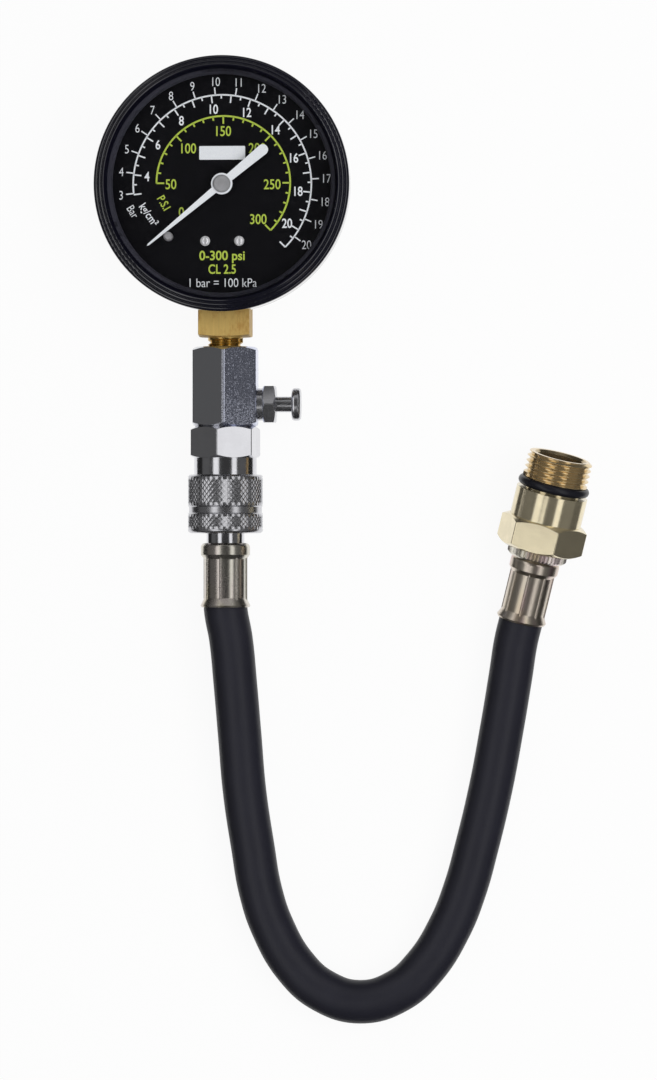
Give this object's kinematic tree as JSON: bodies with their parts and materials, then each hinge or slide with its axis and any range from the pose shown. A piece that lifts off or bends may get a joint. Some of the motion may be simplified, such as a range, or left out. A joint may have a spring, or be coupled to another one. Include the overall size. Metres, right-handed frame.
{
  "type": "compression tester gauge",
  "caption": "Round dial pressure gauge on a brass stem with a push release valve, a sleeve quick coupler and a short rubber hose ending in a screw-in brass spark plug adapter.",
  "frame": {"origin": "centre of the flat back of the gauge's case, on the pointer's axis", "axes": "+Z leaves the dial, +Y points to twelve o'clock of the dial and away from the hose"},
  "size_m": [0.1351, 0.2643, 0.0288],
  "materials": {
    "case_chrome": "bright plated pressed steel",
    "bezel_black": "black satin enamel",
    "window_clear": "clear flat window",
    "spacer_black": "black moulded ring",
    "dial_black": "matt black enamel with printed scales",
    "screw_steel": "turned bright steel",
    "pointer_white": "white enamel",
    "hub_steel": "turned metal",
    "movement_brass": "stamped brass",
    "arbor_steel": "polished steel",
    "stem_brass": "drawn brass",
    "nickel_plate": "bright nickel plate",
    "rubber_black": "black rubber",
    "ferrule_zinc": "yellow passivated zinc",
    "adapter_brass": "turned brass"
  },
  "bodies": {
    "gauge": {"gauge_case": "case_chrome", "bezel": "bezel_black", "window": "window_clear", "dial_spacer": "spacer_black", "dial": "dial_black", "dial_screws": "screw_steel", "stop_pin": "screw_steel", "hairspring": "arbor_steel", "movement_back_plate": "movement_brass", "movement_front_plate": "movement_brass", "movement_pillars": "movement_brass", "movement_screws": "screw_steel", "bourdon_tube": "movement_brass", "tube_tip": "movement_brass", "stem_socket": "stem_brass", "case_screws": "screw_steel", "valve_body": "nickel_plate", "release_housing": "nickel_plate", "release_spring": "arbor_steel", "coupler_body": "nickel_plate", "sleeve_spring": "arbor_steel", "locking_balls": "nickel_plate", "retaining_ring": "arbor_steel", "coupler_seal": "rubber_black"},
    "pointer": {"pointer": "pointer_white", "pointer_hub": "hub_steel", "pinion_arbor": "arbor_steel"},
    "sector": {"sector_gear": "movement_brass", "sector_arbor": "arbor_steel"},
    "link": {"link": "movement_brass", "link_pins": "arbor_steel"},
    "release_button": {"release_button": "nickel_plate", "release_seal": "rubber_black"},
    "coupler_sleeve": {"coupler_sleeve": "nickel_plate"},
    "hose": {"hose_plug": "nickel_plate", "plug_ferrule": "ferrule_zinc", "hose": "rubber_black", "end_ferrule": "ferrule_zinc", "hose_end_fitting": "ferrule_zinc", "fitting_o_ring": "rubber_black", "valve_core_body": "adapter_brass", "valve_core_spring": "arbor_steel", "spark_plug_adapter": "adapter_brass", "adapter_o_ring": "rubber_black"},
    "core_pin": {"valve_core_pin": "adapter_brass"}
  },
  "joints": [
    {"name": "pointer_turn", "type": "hinge", "parent": "gauge", "child": "pointer", "pos_m": [0, 0, 0.0228], "axis": [0, 0, -1], "range_deg": [0, 265], "stiffness_Nm_per_rad": 0.0004, "springref_deg": -11.46},
    {"name": "sector_turn", "type": "hinge", "parent": "gauge", "child": "sector", "pos_m": [0.0118, -0.00826, 0.0142], "axis": [0, 0, -1], "range_deg": [-38.5, 0.5]},
    {"name": "link_turn", "type": "hinge", "parent": "sector", "child": "link", "pos_m": [0.01474, -0.0123, 0.0152], "axis": [0, 0, -1], "range_deg": [-0.5, 38.5]},
    {"name": "release_push", "type": "slide", "parent": "gauge", "child": "release_button", "axis": [-1, 0, 0], "range_m": [0, 0.0022], "stiffness_N_per_m": 400, "springref_m": -0.004, "deforming": ["release_spring"]},
    {"name": "sleeve_slide", "type": "slide", "parent": "gauge", "child": "coupler_sleeve", "axis": [0, 1, 0], "range_m": [0, 0.0035], "stiffness_N_per_m": 1500, "springref_m": -0.003, "deforming": ["sleeve_spring"]},
    {"name": "hose_swivel", "type": "hinge", "parent": "gauge", "child": "hose", "pos_m": [0, -0.09, 0.0105], "axis": [0, -1, 0], "continuous": true},
    {"name": "core_pin_push", "type": "slide", "parent": "hose", "child": "core_pin", "axis": [-0.2339, -0.9596, -0.1564], "range_m": [0, 0.0012], "stiffness_N_per_m": 300, "springref_m": -0.002, "deforming": ["valve_core_spring"]}
  ],
  "couplings": [
    {"joint": "sector_turn", "follows": "pointer_turn", "ratio": -0.14286},
    {"joint": "link_turn", "follows": "pointer_turn", "ratio": 0.14286}
  ]
}
